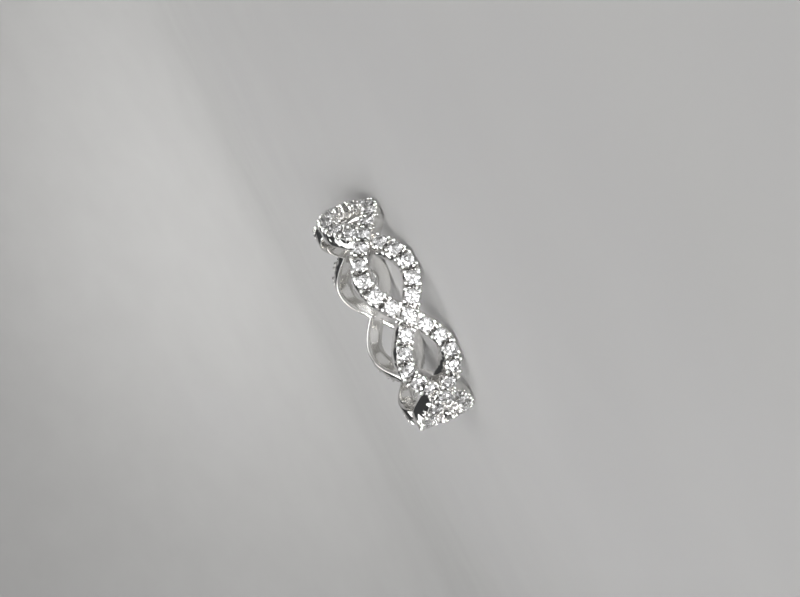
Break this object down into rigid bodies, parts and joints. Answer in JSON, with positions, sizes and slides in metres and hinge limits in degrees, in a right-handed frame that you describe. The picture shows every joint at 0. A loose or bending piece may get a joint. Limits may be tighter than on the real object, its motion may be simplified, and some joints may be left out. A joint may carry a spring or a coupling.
{
  "type": "infinity ring",
  "caption": "Ring of two stone-set strands woven round the finger in open loops, with small round cut stones held by paired prongs, lying on its side.",
  "frame": {"origin": "on the ring's axis, in the plane that the ring lies on", "axes": "+Z along the ring's axis, up from the surface it lies on; +X through a crossing of the two strands"},
  "size_m": [0.0204, 0.0204, 0.0051],
  "materials": {
    "white_gold": "polished",
    "clear_stone": "polished"
  },
  "bodies": {
    "root": {"band": "white_gold", "first_stones": "clear_stone", "second_stones": "clear_stone"}
  },
  "joints": []
}
